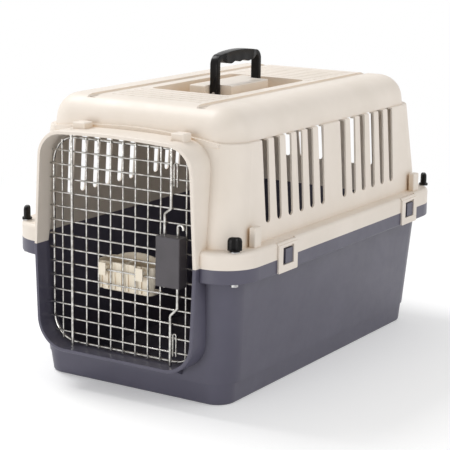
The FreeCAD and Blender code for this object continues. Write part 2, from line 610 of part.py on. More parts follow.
def top_shell():
    edge = plan("0", "0", "0")
    seam_plan = plan("rim_side", "rim_end", "rim_end")
    ledge_plan = plan("ledge_side", "ledge_end", "ledge_end")
    cap_low = plan("ledge_side + ledge_step", "ledge_end + ledge_step", "ledge_end + ledge_step")
    cap_in = "ledge_step + roof_draft"
    cap_high = plan(f"ledge_side + {cap_in}", f"ledge_end + {cap_in}", f"ledge_end + {cap_in}")
    seam_in = plan("rim_side + wall", "rim_end + wall", "rim_end + wall")
    ledge_in = plan("ledge_side + wall", "ledge_end + wall", "ledge_end + wall")
    cap_low_in = plan("ledge_side + ledge_step + wall", "ledge_end + ledge_step + wall",
                      "ledge_end + ledge_step + wall")
    cap_high_in = plan(f"ledge_side + {cap_in} + wall", f"ledge_end + {cap_in} + wall",
                       f"ledge_end + {cap_in} + wall")
    inner_corner = "shell_corner - wall"
    ceiling = "(roof_height - wall)"
    collar_back = f"{FLANGE_FRONT} + ledge_end + ledge_step + wall"
    brow = new_body("brow")
    arch = sketch(brow, "brow_outline", "XZ_Plane", f"-({collar_back})")
    foot = "(ledge_height - ledge_step)"
    brow_half = "(brow_width / 2)"
    outline(arch, [(f"-{brow_half}", foot), (brow_half, foot), (brow_half, "ledge_height"),
                   (f"-{brow_half}", "ledge_height")], {2: "brow_rise"})
    pad(brow, arch, "ledge_step + wall + 1")
    skin = [
        tapered_block("cover_flange", "seam_height", edge, FLANGE_TOP, edge, "flange_corner",
                      high_round="flange_round"),
        tapered_block("cover_wall_block", "seam_height", seam_plan, "ledge_height", ledge_plan,
                      "shell_corner", high_round="edge_round"),
        tapered_block("roof_cap", "ledge_height - wall", cap_low, "roof_height", cap_high, "shell_corner",
                      high_round="roof_round"),
        doorway("collar_high", True, "collar_wall", COLLAR_FRONT, collar_back, lip="edge_round"),
        brow,
    ]
    for tag, left in (("hinge", "lug_left"), ("latch", "lug_right")):
        lug_y = (f"{FLANGE_FRONT} + rim_end", f"{FLANGE_FRONT} + rim_end + lug_depth")
        lug_z = ("doorway_top", "doorway_top + collar_wall + lug_height - 4")
        skin.append(rounded_box(f"lug_{tag}", (left, f"{left} + lug_width"), lug_y, lug_z))
    for tag, sign in (("right", 1), ("left", -1)):
        post_x = span(sign, f"{HALF_FLANGE} - post_inset - post_width", f"{HALF_FLANGE} - post_inset")
        for end, low in (("front", f"{FLANGE_FRONT} + post_end"),
                         ("rear", f"{FLANGE_REAR} - post_end - post_length")):
            skin.append(rounded_box(f"post_{end}_{tag}", post_x, (low, f"{low} + post_length"),
                                    ("seam_height + wall", f"{FLANGE_TOP} + post_height")))
    hollow = [
        tapered_block("cover_inside", "seam_height", seam_in, "ledge_height - wall", ledge_in,
                      inner_corner),
        tapered_block("roof_inside", "ledge_height - 2 * wall", cap_low_in, ceiling, cap_high_in,
                      inner_corner, high_round="roof_round - wall"),
        doorway("gate_high", True, "0", f"{COLLAR_FRONT} - wall", f"{collar_back} + shell_corner"),
    ]
    hollow += bolt_holes("cover_hole", "seam_height - wall", f"{FLANGE_TOP} + wall")
    hollow += rod_holes("collar_hole", "doorway_top - wall", "doorway_top + rod_bite + latch_throw")
    for tag, sign, y in side_spots():
        seat_x = span(sign, f"{SIDE_PIN_X} - side_barrel / 2 - face_gap", f"{HALF_FLANGE} + wall")
        seat_z = (f"{SIDE_PIN_Z} - side_barrel / 2 - face_gap", f"{FLANGE_TOP} + wall")
        hollow.append(box(f"side_seat_{tag}", seat_x, about(y, "side_latch_length + 2 * face_gap"), seat_z))
    hollow += side_pockets("cover")
    shell = cut("cover_shell", fuse("cover_solid", skin), hollow)
    tray_plan = (*about("0", "recess_width + 2 * wall"),
                 *about("recess_middle", "recess_length + 2 * wall"))
    tray = tapered_block("roof_tray", f"{RECESS_FLOOR} - wall", tray_plan, "roof_height - wall / 2",
                         tray_plan, "recess_corner + wall")
    recess_plan = (*about("0", "recess_width"), *about("recess_middle", "recess_length"))
    recess = tapered_block("roof_recess", RECESS_FLOOR, recess_plan, "roof_height + wall", recess_plan,
                           "recess_corner", low_round="edge_round")
    grooves = []
    beds = []
    for tag, middle in (("right", "groove_spacing / 2"), ("left", "-groove_spacing / 2")):
        run = (*about(middle, "groove_width"), *about("collar_reach / 2", "groove_length"))
        beds.append(box(f"groove_bed_{tag}", about(middle, "groove_width + 2 * wall"),
                        about("collar_reach / 2", "groove_length - 2 * groove_width"),
                        ("roof_height - groove_depth - wall", "roof_height - wall / 2")))
        grooves.append(tapered_block(f"groove_{tag}", "roof_height - groove_depth", run,
                                     "roof_height + wall", run, "groove_width * 0.45",
                                     low_round="groove_depth * 0.6"))
    roofed = cut("roofed_shell", fuse("tray_shell", [shell, tray] + beds), [recess] + grooves + vents())
    return fuse("top_shell", [roofed, handle_block()])


def corner_hardware():
    """Bolts and washers at the four corners, and a thumb nut on each bolt."""
    bolts = []
    washers = []
    nuts = []
    nut_foot = f"({FLANGE_TOP} + washer_thickness + face_gap)"
    bolt_top = f"({nut_foot} + nut_height * 0.6)"
    for tag, x, y in corner_spots():
        shank = cylinder(f"bolt_shank_{tag}", "z", (x, y, FLANGE_LOW), "bolt_diameter",
                         f"{bolt_top} - {FLANGE_LOW}")
        head = cylinder(f"bolt_head_{tag}", "z", (x, y, f"{FLANGE_LOW} - bolt_head_height"), "bolt_head",
                        "bolt_head_height")
        bolts.append(fuse(f"bolt_{tag}", [shank, head]))
        ring = cylinder(f"washer_disc_{tag}", "z", (x, y, FLANGE_TOP), "washer_diameter",
                        "washer_thickness")
        bore = cylinder(f"washer_bore_{tag}", "z", (x, y, f"{FLANGE_TOP} - wall"),
                        "bolt_diameter + 2 * face_gap", "washer_thickness + 2 * wall")
        washers.append(cut(f"washer_{tag}", ring, [bore]))
        nuts.append(thumb_nut(tag, x, y, nut_foot, bolt_top))
    return [group("corner_bolts", bolts), group("corner_washers", washers)] + nuts


# Each thumb nut stops where it was last turned to, degrees from across the carrier.
NUT_ANGLES = {"front_right": 32, "front_left": 120, "rear_right": 122, "rear_left": 60}


def thumb_nut(tag, x, y, foot, bolt_top):
    """A wing on a round foot, with a blind threaded bore, modelled at the origin and set on its bolt."""
    wing_body = new_body(f"nut_wing_{tag}")
    made = sketch(wing_body, f"nut_wing_outline_{tag}", "XZ_Plane", "-nut_thickness / 2")
    rectangle(made, "-nut_width / 2", "nut_width / 2", "wall / 2", "nut_height")
    pad(wing_body, made, "nut_thickness")
    fillet(wing_body, f"nut_ends_{tag}", "nut_thickness * 0.3", upright)
    top = size("nut_height")
    fillet(wing_body, f"nut_crown_{tag}", "wall / 2", lambda p, d: abs(p.z - top) < 0.1)
    base = cylinder(f"nut_foot_{tag}", "z", ("0", "0", "0"), "nut_base", "wall")
    bore = cylinder(f"nut_bore_{tag}", "z", ("0", "0", "-wall"), "bolt_diameter + 2 * run_gap",
                    f"{bolt_top} - {foot} + wall + face_gap")
    flutes = []
    for number in range(4):
        flute_x = f"{(-1, 1)[number % 2]} * nut_width / 6"
        flute_y = f"{(-1, 1)[number // 2]} * (nut_thickness / 2 + edge_round / 3)"
        flutes.append(cylinder(f"nut_flute_{tag}_{number}", "z", (flute_x, flute_y, "wall"),
                               "edge_round * 1.6", "nut_height"))
    nut = cut(f"thumb_nut_{tag}", fuse(f"nut_solid_{tag}", [wing_body, base]), [bore] + flutes)
    nut.Placement.Rotation = FreeCAD.Rotation(V(0, 0, 1), NUT_ANGLES[tag])
    for axis, text in zip("xyz", (x, y, foot)):
        bind(nut, f"Placement.Base.{axis}", text)
    return nut


def side_latches():
    """Windowed leaves that hang from pins in the flange and hook under the catches."""
    latches = []
    pins = []
    leaf_in = f"{HALF_FLANGE} + face_gap"
    leaf_out = f"{HALF_FLANGE} + side_latch_thickness"
    for tag, sign, y in side_spots():
        leaf = new_body(f"latch_leaf_{tag}")
        made = sketch(leaf, f"latch_leaf_outline_{tag}", "YZ_Plane", span(sign, leaf_in, leaf_out)[0])
        rectangle(made, *about(y, "side_latch_length"), FLANGE_LOW, SIDE_PIN_Z)
        pad(leaf, made, f"{leaf_out} - ({leaf_in})")
        outer_x = sign * size(leaf_out)
        low_z = size(FLANGE_LOW)
        fillet(leaf, f"latch_leaf_corners_{tag}", "edge_round",
               lambda p, d: abs(d.x) > 0.9 and abs(p.z - low_z) < 0.1)
        fillet(leaf, f"latch_leaf_rim_{tag}", "edge_round / 3",
               lambda p, d: abs(p.x - outer_x) < 0.1 and p.z < size(SIDE_PIN_Z) - 0.1)
        window = box(f"latch_window_{tag}", span(sign, f"{HALF_FLANGE} - wall", f"{leaf_out} + wall"),
                     about(y, "side_window_length"), (WINDOW_LOW, WINDOW_TOP))
        pin_x = SIDE_PIN_X if sign > 0 else f"-{SIDE_PIN_X}"
        low_y, high_y = about(y, "side_latch_length")
        barrel = cylinder(f"latch_barrel_{tag}", "y", (pin_x, low_y, SIDE_PIN_Z), "side_barrel",
                          "side_latch_length")
        bore = cylinder(f"latch_bore_{tag}", "y", (pin_x, f"{low_y} - wall", SIDE_PIN_Z),
                        "side_pin_diameter + 2 * run_gap", "side_latch_length + 2 * wall")
        latches.append(cut(f"side_latch_{tag}", fuse(f"latch_solid_{tag}", [leaf, barrel]), [window, bore]))
        pins.append(cylinder(f"side_pin_{tag}", "y", (pin_x, f"{low_y} - face_gap", SIDE_PIN_Z),
                             "side_pin_diameter", "side_latch_length + 2 * face_gap"))
    return latches + [group("side_latch_pins", pins)]


def bent_path(points, bend):
    """Straight runs joined by tangent arcs of one bend radius, as one wire."""
    edges = []
    last = points[0]
    for before, corner, after in zip(points, points[1:], points[2:]):
        to_before = (before - corner).normalize()
        to_after = (after - corner).normalize()
        half = to_before.getAngle(to_after) / 2
        reach = bend / math.tan(half)
        bisector = (to_before + to_after).normalize()
        middle = corner + bisector * (bend / math.sin(half) - bend)
        arc_start = corner + to_before * reach
        arc_end = corner + to_after * reach
        if (arc_start - last).Length > 1e-6:
            edges.append(Part.LineSegment(last, arc_start).toShape())
        edges.append(Part.Arc(arc_start, middle, arc_end).toShape())
        last = arc_end
    if (points[-1] - last).Length > 1e-6:
        edges.append(Part.LineSegment(last, points[-1]).toShape())
    return Part.Wire(edges)


def wire_along(path, diameter):
    """Round wire along a path."""
    edge = path.OrderedEdges[0]
    start = edge.valueAt(edge.FirstParameter)
    normal = edge.tangentAt(edge.FirstParameter)
    ring = Part.Wire([Part.Circle(start, normal, diameter / 2).toShape()])
    return path.makePipeShell([ring], True, False)


def door_frame():
    """The rounded loop of thick wire that the mesh is welded to."""
    half, low, high = size(HALF_FRAME), size(FRAME_LOW), size(FRAME_TOP)
    y = size(f"{DOOR_Y} + (wire_diameter + frame_diameter) / 2")
    corners = [V(0, y, low), V(half, y, low), V(half, y, high),
               V(-half, y, high), V(-half, y, low), V(0, y, low)]
    path = bent_path(corners, size("frame_corner"))
    return solid("door_frame", wire_along(path, size("frame_diameter")))


def corner_loss(distance, limit):
    """How much shorter a wire is where the frame's corner curves in."""
    beyond = f"max(0; ({distance}) - (({limit}) - frame_corner))"
    return f"(frame_corner - sqrt(frame_corner^2 - ({beyond})^2))"


def door_mesh():
    """Upright wires, but for the two places that the rods take, and level wires in front of them."""
    uprights = []
    columns = int(size("mesh_columns"))
    for number in range(columns):
        if number in (1, columns - 2):
            continue
        x = f"(({number} - (mesh_columns - 1) / 2) * mesh_column_pitch)"
        loss = corner_loss(f"abs({x})", HALF_FRAME)
        low = f"({FRAME_LOW} + {loss} - frame_diameter / 2)"
        high = f"({FRAME_TOP} - {loss} + frame_diameter / 2)"
        uprights.append(cylinder(f"upright_{number}", "z", (x, DOOR_Y, low), "wire_diameter",
                                 f"{high} - {low}"))
    levels = []
    for number in range(int(size("mesh_rows"))):
        z = f"(mesh_top - {number} * mesh_row_pitch)"
        from_middle = f"abs({z} - ({FRAME_TOP} + {FRAME_LOW}) / 2)"
        loss = corner_loss(from_middle, f"({FRAME_TOP} - {FRAME_LOW}) / 2")
        half = f"({HALF_FRAME} - {loss} + frame_diameter / 2)"
        levels.append(cylinder(f"level_{number}", "x", (f"-{half}", ROW_Y, z), "wire_diameter",
                               f"2 * {half}"))
    return [group("mesh_vertical_wires", uprights), group("mesh_horizontal_wires", levels)]


def hinge_rod():
    low = "(sill_height - collar_wall)"
    high = "(doorway_top + rod_bite)"
    return cylinder("hinge_rod", "z", ("-rod_offset", ROD_Y, low), "rod_diameter", f"{high} - {low}")


def latch_rods():
    """The upper rod cranks left into the cover; the lower rod ends in a hairpin at the top of the cover."""
    y = size(LATCH_ROD_Y)
    rod_x = size("rod_offset")
    bend = size("rod_bend")
    top = size("doorway_top - rod_tip_gap")
    crank_z = size("upper_crank_height")
    inner_x = rod_x + size("upper_crank")
    end_z = size("cover_low - rod_diameter")
    step = abs(size("upper_crank")) / 2
    upper = bent_path([V(rod_x, y, top), V(rod_x, y, crank_z + step), V(inner_x, y, crank_z - step / 2),
                       V(inner_x, y, end_z)], bend)
    low = size("sill_height + rod_tip_gap")
    crank_z = size("lower_crank_height")
    inner_x = rod_x + size("lower_crank")
    step = size("lower_crank") / 2
    tail_z = size("cover_low + cover_height + latch_throw + 2 * face_gap")
    loop_z = tail_z + 1.5 * bend
    tail_x = inner_x + 2.1 * bend
    lower = bent_path([V(rod_x, y, low), V(rod_x, y, crank_z - step), V(inner_x, y, crank_z + step),
                       V(inner_x, y, loop_z), V(tail_x, y, loop_z), V(tail_x, y, tail_z)], bend)
    diameter = size("rod_diameter")
    return [solid("upper_latch_rod", wire_along(upper, diameter)),
            solid("lower_latch_rod", wire_along(lower, diameter))]


def latch_cover():
    """A box open at the back, with notches where the rods come through its ends."""
    x = ("cover_left", "cover_left + cover_width")
    z = ("cover_low", "cover_low + cover_height")
    back = f"{COVER_FRONT} + cover_depth"
    body = new_body("cover_block")
    made = sketch(body, "cover_outline", "XZ_Plane", f"-({back})")
    rectangle(made, *x, *z)
    pad(body, made, "cover_depth")
    front = size(COVER_FRONT)
    fillet(body, "cover_upright_edges", "cover_wall", lambda p, d: abs(p.y - front) < 0.1)
    hollow = box("cover_hollow", (f"{x[0]} + cover_wall", f"{x[1]} - cover_wall"),
                 (f"{COVER_FRONT} + cover_wall", f"{back} + cover_wall"),
                 (f"{z[0]} + cover_wall", f"{z[1]} - cover_wall"))
    notches = []
    for tag, rod_x in (("upper", UPPER_ROD_X), ("lower", LOWER_ROD_X)):
        notches.append(box(f"cover_notch_{tag}", about(rod_x, "rod_diameter + 4 * face_gap"),
                           (f"{LATCH_ROD_Y} - rod_diameter / 2 - 2 * face_gap", f"{back} + cover_wall"),
                           (f"{z[0]} - cover_wall", f"{z[1]} + cover_wall")))
    return cut("latch_cover", body, [hollow] + notches)


def latch_sliders():
    """Finger pieces on the two rods, with the spring between them, inside the cover."""
    middle = "(cover_low + cover_height / 2)"
    inside = ("cover_left + cover_wall + 2 * face_gap",
              "cover_left + cover_width - cover_wall - 2 * face_gap")
    y = (f"{COVER_FRONT} + cover_wall + 2 * face_gap", f"{ROW_Y} - wire_diameter / 2 - 2 * face_gap")
    pieces = []
    spans = {"upper": (f"{middle} + slider_gap / 2", f"{middle} + slider_gap / 2 + slider_height"),
             "lower": (f"{middle} - slider_gap / 2 - slider_height", f"{middle} - slider_gap / 2")}
    rods = {"upper": (UPPER_ROD_X, LOWER_ROD_X), "lower": (LOWER_ROD_X, UPPER_ROD_X)}
    for tag, z in spans.items():
        own, other = rods[tag]
        block = box(f"slider_block_{tag}", inside, y, z)
        low, high = f"{z[0]} - wall", f"({z[1]}) - ({z[0]}) + 2 * wall"
        grip = cylinder(f"slider_grip_{tag}", "z", (own, LATCH_ROD_Y, low), "rod_diameter", high)
        channel = box(f"slider_channel_{tag}", about(other, "rod_diameter + 4 * face_gap"),
                      (f"{LATCH_ROD_Y} - rod_diameter / 2 - 2 * face_gap", f"{y[1]} + wall"),
                      (low, f"{z[1]} + wall"))
        pieces.append(cut(f"{tag}_latch_slider", block, [grip, channel]))
    return pieces


def latch_spring():
    """A coil of round wire between the two finger pieces, a quarter turn to each arc."""
    turns = int(size("spring_turns"))
    radius = size("(spring_diameter - spring_wire) / 2")
    wire = size("spring_wire")
    clear = size("face_gap")
    height = size("slider_gap") - wire - 2 * clear
    x = size(f"({UPPER_ROD_X} + {LOWER_ROD_X}) / 2")
    y = size(f"{COVER_FRONT} + cover_wall + spring_diameter / 2 + 2 * face_gap")
    z = size("cover_low + cover_height / 2") - height / 2

    def spot(quarters):
        angle = quarters * math.pi / 2
        climb = height * quarters / (4 * turns)
        return V(x + radius * math.cos(angle), y + radius * math.sin(angle), z + climb)

    edges = [Part.Arc(spot(q), spot(q + 0.5), spot(q + 1)).toShape() for q in range(4 * turns)]
    print("latch spring: gap between turns", round(height / turns - wire, 2), "mm")
    return solid("latch_spring", wire_along(Part.Wire(edges), wire))


def rod_guide(name, top):
    """A hairpin of wire welded upright on the level wires, beside the rod."""
    wire = size("guide_wire")
    width = size("guide_width - guide_wire")
    x = size("rod_offset + rod_diameter / 2 + guide_wire / 2 + 2 * face_gap")
    y = size(f"{ROW_Y} - (wire_diameter + guide_wire) / 2")
    high = size(top) - wire / 2
    low = high - size("guide_height") + wire
    bend = width * 0.45
    path = bent_path([V(x, y, low), V(x, y, high), V(x + width, y, high), V(x + width, y, low)], bend)
    return solid(name, wire_along(path, wire))


def feeding_dish():
    """A dish with two bowls, ribs on its front, a raised back and two hooks over a level wire."""
    half_top = "(dish_width / 2)"
    half_low = "(dish_width / 2 - dish_taper)"
    front, back = DISH_FRONT, f"({DISH_FRONT} + dish_depth)"
    top = "(dish_low + dish_height)"
    low_plan = (f"dish_middle - {half_low}", f"dish_middle + {half_low}", f"{front} + dish_taper / 2",
                f"{back} - dish_taper")
    high_plan = (f"dish_middle - {half_top}", f"dish_middle + {half_top}", front, back)
    outer = tapered_block("dish_outer", "dish_low", low_plan, top, high_plan, "dish_corner",
                          low_round="dish_wall")
    back_wall = new_body("dish_back_wall")
    made = sketch(back_wall, "dish_back_outline", "XZ_Plane", f"-({back})")
    half_back = "(dish_width / 2 - dish_corner)"
    outline(made, [(f"dish_middle - {half_back}", f"{top} - dish_wall"),
                   (f"dish_middle + {half_back}", f"{top} - dish_wall"),
                   (f"dish_middle + {half_back}", top),
                   (f"dish_middle - {half_back}", top)], {2: "dish_back"})
    pad(back_wall, made, "dish_wall")
    bowls = []
    for tag, left, right in (("left", f"dish_middle - {half_top}", "dish_middle"),
                             ("right", "dish_middle", f"dish_middle + {half_top}")):
        inset = "dish_wall"
        sides = (f"{left} + {inset}", f"{right} - {inset}", f"{front} + dish_wall", f"{back} - dish_wall")
        deep = "dish_taper + dish_wall"
        floor = (f"{left} + {deep}", f"{right} - {deep}", f"{front} + {deep}", f"{back} - {deep}")
        bowls.append(tapered_block(f"bowl_{tag}", "dish_low + dish_wall", floor, f"{top} + 1", sides,
                                   "dish_corner - dish_wall", low_round="dish_wall"))
    extras = [back_wall]
    ribs = int(size("dish_ribs"))
    for number in range(ribs):
        step = "(dish_width - 2 * dish_corner) / (dish_ribs - 1)"
        x = f"(dish_middle + ({number} - (dish_ribs - 1) / 2) * {step})"
        extras.append(box(f"dish_rib_{number}", about(x, "dish_rib"),
                          (f"{front} - 0.8", f"{front} + dish_wall"), ("dish_low + dish_wall", top)))
    wire_top = f"({HOOK_Z} + wire_diameter / 2 + 2 * face_gap)"
    hook_front = f"({ROW_Y} - wire_diameter / 2 - 2 * face_gap - hook_thickness)"
    for tag, middle in (("left", "-hook_spacing / 2"), ("right", "hook_spacing / 2")):
        across = about(middle, "hook_width")
        extras.append(box(f"hook_top_{tag}", across, (hook_front, f"{front} + dish_wall / 2"),
                          (wire_top, f"{wire_top} + hook_rise")))
        extras.append(rounded_box(f"hook_tip_{tag}", across, (hook_front, f"{hook_front} + hook_thickness"),
                                  (f"{HOOK_Z} - hook_drop", top), "hook_thickness / 4",
                                  "hook_thickness / 4"))
    return fuse("feeding_dish", [cut("dish_bowls", outer, bowls)] + extras)


def carry_handle():
    """A bail with two square legs and an arched grip with finger waves, and the pins that it folds on."""
    y_mid = "handle_middle"
    half_out = "(handle_length / 2)"
    half_in = "(handle_length / 2 - handle_leg)"
    foot = f"({HANDLE_PIN_Z} - handle_leg / 2)"
    shoulder = f"({HANDLE_PIN_Z} + handle_height - handle_crown)"
    under = f"({HANDLE_PIN_Z} + handle_height - handle_grip_height)"
    bail = new_body("handle_bail")
    made = sketch(bail, "handle_outline", "YZ_Plane", "-handle_leg / 2")
    waves = int(size("handle_waves"))
    wave_points = [(f"{y_mid} + {half_in} - {number} * (2 * {half_in}) / handle_waves", under)
                   for number in range(waves + 1)]
    points = [(f"{y_mid} - {half_out}", foot), (f"{y_mid} - {half_in}", foot)]
    points += list(reversed(wave_points))
    points += [(f"{y_mid} + {half_in}", foot), (f"{y_mid} + {half_out}", foot),
               (f"{y_mid} + {half_out}", shoulder), (f"{y_mid} - {half_out}", shoulder)]
    arcs = {2 + number: "handle_wave" for number in range(waves)}
    arcs[len(points) - 2] = "handle_crown"
    outline(made, points, arcs)
    pad(bail, made, "handle_leg")
    high = size(shoulder)
    outer = size(half_out) - 0.1
    middle = size(y_mid)
    fillet(bail, "handle_shoulders", "handle_corner",
           lambda p, d: abs(d.x) > 0.9 and abs(p.z - high) < 0.1 and abs(p.y - middle) > outer)
    grip = new_body("handle_grip_block")
    made = sketch(grip, "handle_grip_outline", "YZ_Plane", "-handle_grip / 2")
    inner = [(f"{y_mid} - {half_in} + handle_wave", under), (f"{y_mid} + {half_in} - handle_wave", under)]
    inner += [(y, f"{shoulder} - handle_crown / 2") for y, z in reversed(inner)]
    outline(made, inner)
    pad(grip, made, "handle_grip")
    fillet(grip, "handle_grip_round", "handle_wave", lambda p, d: abs(d.y) > 0.9)
    pins = []
    reach = "handle_pin_bite - 2 * face_gap + handle_leg"
    for tag, y in (("front", f"{y_mid} - {half_out}"), ("rear", f"{y_mid} + {half_out} - ({reach})")):
        pins.append(cylinder(f"handle_pin_{tag}", "y", ("0", y, HANDLE_PIN_Z), "handle_pin", reach))
    bores = []
    for tag, y in (("front", f"{y_mid} - {half_out} - wall"), ("rear", f"{y_mid} + {half_in} - wall")):
        bores.append(cylinder(f"handle_eye_{tag}", "y", ("0", y, HANDLE_PIN_Z), "handle_pin",
                              "handle_leg + 2 * wall"))
    return [cut("carry_handle", fuse("handle_solid", [bail, grip]), bores), group("handle_pins", pins)]


pieces = [bottom_shell(), top_shell(), door_frame(), hinge_rod()]
pieces += [latch_cover(), latch_spring(), feeding_dish()]
pieces += corner_hardware()
pieces += side_latches()
pieces += door_mesh()
pieces += latch_rods()
pieces += latch_sliders()
pieces += [rod_guide("upper_rod_guide", "upper_guide_top"), rod_guide("lower_rod_guide", "lower_guide_top")]
pieces += carry_handle()
doc.recompute()

for obj in doc.Objects:
    if "Invalid" in obj.State or "Error" in obj.State:
        raise RuntimeError(f"{obj.Name} failed: {obj.State}")
os.makedirs("parts", exist_ok=True)
for piece in pieces:
    piece.Label = piece.Name
    if piece.Shape.isNull() or not piece.Shape.isValid():
        raise RuntimeError(f"{piece.Label} has no sound shape")
    piece.Shape.exportStep(f"parts/{piece.Label}.step")
    reach = piece.Shape.BoundBox
    print(piece.Label, len(piece.Shape.Solids), "solids", round(piece.Shape.Volume / 1000, 2), "cm3", reach)
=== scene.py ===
# %% [markdown]
# Pet carrier: a beige cover over a slate-grey tub, a plated wire door in a deep collar, black
# thumb nuts and a folding handle. The solids come in ready made and fixed in place, so this
# lesson is about how they look: what each surface is made of, the light that it stands in, and
# the few small pieces that are easier to shape by hand here.

# %% Load the solids
import json
import math

import bmesh
import bpy
from mathutils import Matrix, Vector


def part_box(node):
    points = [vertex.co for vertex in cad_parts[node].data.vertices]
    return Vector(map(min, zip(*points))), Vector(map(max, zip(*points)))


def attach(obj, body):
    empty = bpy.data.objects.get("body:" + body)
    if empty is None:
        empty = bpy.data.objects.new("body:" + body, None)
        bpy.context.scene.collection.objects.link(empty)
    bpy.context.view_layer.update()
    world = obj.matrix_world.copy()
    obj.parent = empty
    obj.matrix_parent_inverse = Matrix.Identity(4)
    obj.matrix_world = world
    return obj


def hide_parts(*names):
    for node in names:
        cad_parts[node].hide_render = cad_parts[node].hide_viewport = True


MM = 0.001
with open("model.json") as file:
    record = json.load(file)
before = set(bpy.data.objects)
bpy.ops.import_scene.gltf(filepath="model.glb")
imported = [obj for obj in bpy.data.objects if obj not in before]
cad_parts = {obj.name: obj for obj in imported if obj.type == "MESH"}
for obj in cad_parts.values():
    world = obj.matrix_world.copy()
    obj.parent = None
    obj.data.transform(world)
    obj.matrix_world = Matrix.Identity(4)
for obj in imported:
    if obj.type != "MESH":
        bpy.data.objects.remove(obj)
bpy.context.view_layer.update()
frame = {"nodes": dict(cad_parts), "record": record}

# %% [markdown]
# The camera stands where the photographer stood: in front of the door, to its right and a little
# above the roof. Its place and its long lens were solved from the straight lines of the door
# mesh, so its direction is written as three angles.

# %% Camera
CAMERA_PLACE = (1.4698, -2.3823, 0.8399)
YAW, PITCH, ROLL = math.radians(32.037), math.radians(12.380), math.radians(0.852)
FOCAL_PIXELS = 1561.7
IMAGE_PIXELS = 450
SENSOR_MM = 36.0

backward = Vector((math.sin(YAW) * math.cos(PITCH), -math.cos(YAW) * math.cos(PITCH), math.sin(PITCH)))
level_right = Vector((math.cos(YAW), math.sin(YAW), 0.0))
level_up = level_right.cross(-backward)
right = level_right * math.cos(ROLL) + level_up * math.sin(ROLL)
up = level_up * math.cos(ROLL) - level_right * math.sin(ROLL)

camera_data = bpy.data.cameras.new("camera")
camera_data.sensor_width = SENSOR_MM
camera_data.lens = SENSOR_MM * FOCAL_PIXELS / IMAGE_PIXELS
camera = bpy.data.objects.new("camera", camera_data)
bpy.context.scene.collection.objects.link(camera)
turn = Matrix((right, up, backward)).transposed().to_4x4()
camera.matrix_world = Matrix.Translation(CAMERA_PLACE) @ turn
bpy.context.scene.camera = camera
print("camera lens:", round(camera_data.lens, 1), "mm")

# %% [markdown]
# Colours are written as they look on a screen, in hex, and turned into the linear values that the
# shaders expect. One small function adds any node, gives it its settings and links its inputs.
# Patterns are placed in object coordinates, and their sizes are given in millimetres.

# %% Helpers for colours and nodes
def linear(text):
    """An sRGB hex colour such as E5DDD2 as linear red, green, blue and alpha."""
    parts = [int(text[i:i + 2], 16) / 255 for i in (0, 2, 4)]
    return [c / 12.92 if c <= 0.04045 else ((c + 0.055) / 1.055) ** 2.4 for c in parts] + [1.0]


def new_material(name):
    made = bpy.data.materials.new(name)
    made.use_nodes = True
    made.node_tree.nodes.clear()
    return made, made.node_tree


def add_node(tree, kind, settings=None, inputs=None):
    """Add a node; a setting is a property of it, an input is a value or another node's output."""
    made = tree.nodes.new(kind)
    for name, value in (settings or {}).items():
        setattr(made, name, value)
    for name, value in (inputs or {}).items():
        if isinstance(value, bpy.types.NodeSocket):
            tree.links.new(value, made.inputs[name])
        else:
            made.inputs[name].default_value = value
    return made


def noise(tree, size_mm, detail, roughness):
    place = add_node(tree, "ShaderNodeTexCoord").outputs["Object"]
    made = add_node(tree, "ShaderNodeTexNoise", inputs={
        "Vector": place, "Scale": 1 / (size_mm * MM), "Detail": detail, "Roughness": roughness})
    return made.outputs["Fac"]


def two_tones(tree, factor, low, high):
    """Blend from one colour to another; each is the factor that it starts at and its hex colour."""
    ramp = add_node(tree, "ShaderNodeValToRGB", inputs={"Fac": factor})
    for element, (position, colour) in zip(ramp.color_ramp.elements, (low, high)):
        element.position = position
        element.color = linear(colour)
    return ramp.outputs["Color"]


def either(tree, first, second):
    larger = add_node(tree, "ShaderNodeMath", {"operation": "MAXIMUM"}, {0: first, 1: second})
    return larger.outputs["Value"]


print("E5DDD2 in linear light:", [round(value, 3) for value in linear("E5DDD2")])

# %% [markdown]
# The shells are moulded polypropylene. The mould was blasted, so the plastic has a fine, even
# grain that breaks up its reflections, and slow changes of tone where the wall cooled faster or
# slower. Real grain is under half a millimetre, too fine for this picture, so it is drawn at
# 1.6 mm. Handling leaves faint cloudy smears in the gloss. Where walls close in on each other,
# as in the cabin, in the slots and beside the collar, shade is painted into the colour: an
# occlusion node finds those places, and there the colour is blended toward a darker painted shade.

# %% Moulded polypropylene
# How far the painted shade reaches, and the occlusion values at which it is full and at which it is
# gone.
PAINTED_SHADE_REACH = 450 * MM
PAINTED_SHADE_FULL, PAINTED_SHADE_GONE = 0.10, 0.60
SMEAR_MM = 22
SMEAR_SMOOTHER, SMEAR_ROUGHER = 0.05, 0.06
GRAIN_RISE = 0.2 * MM
PLASTIC_IOR = 1.49


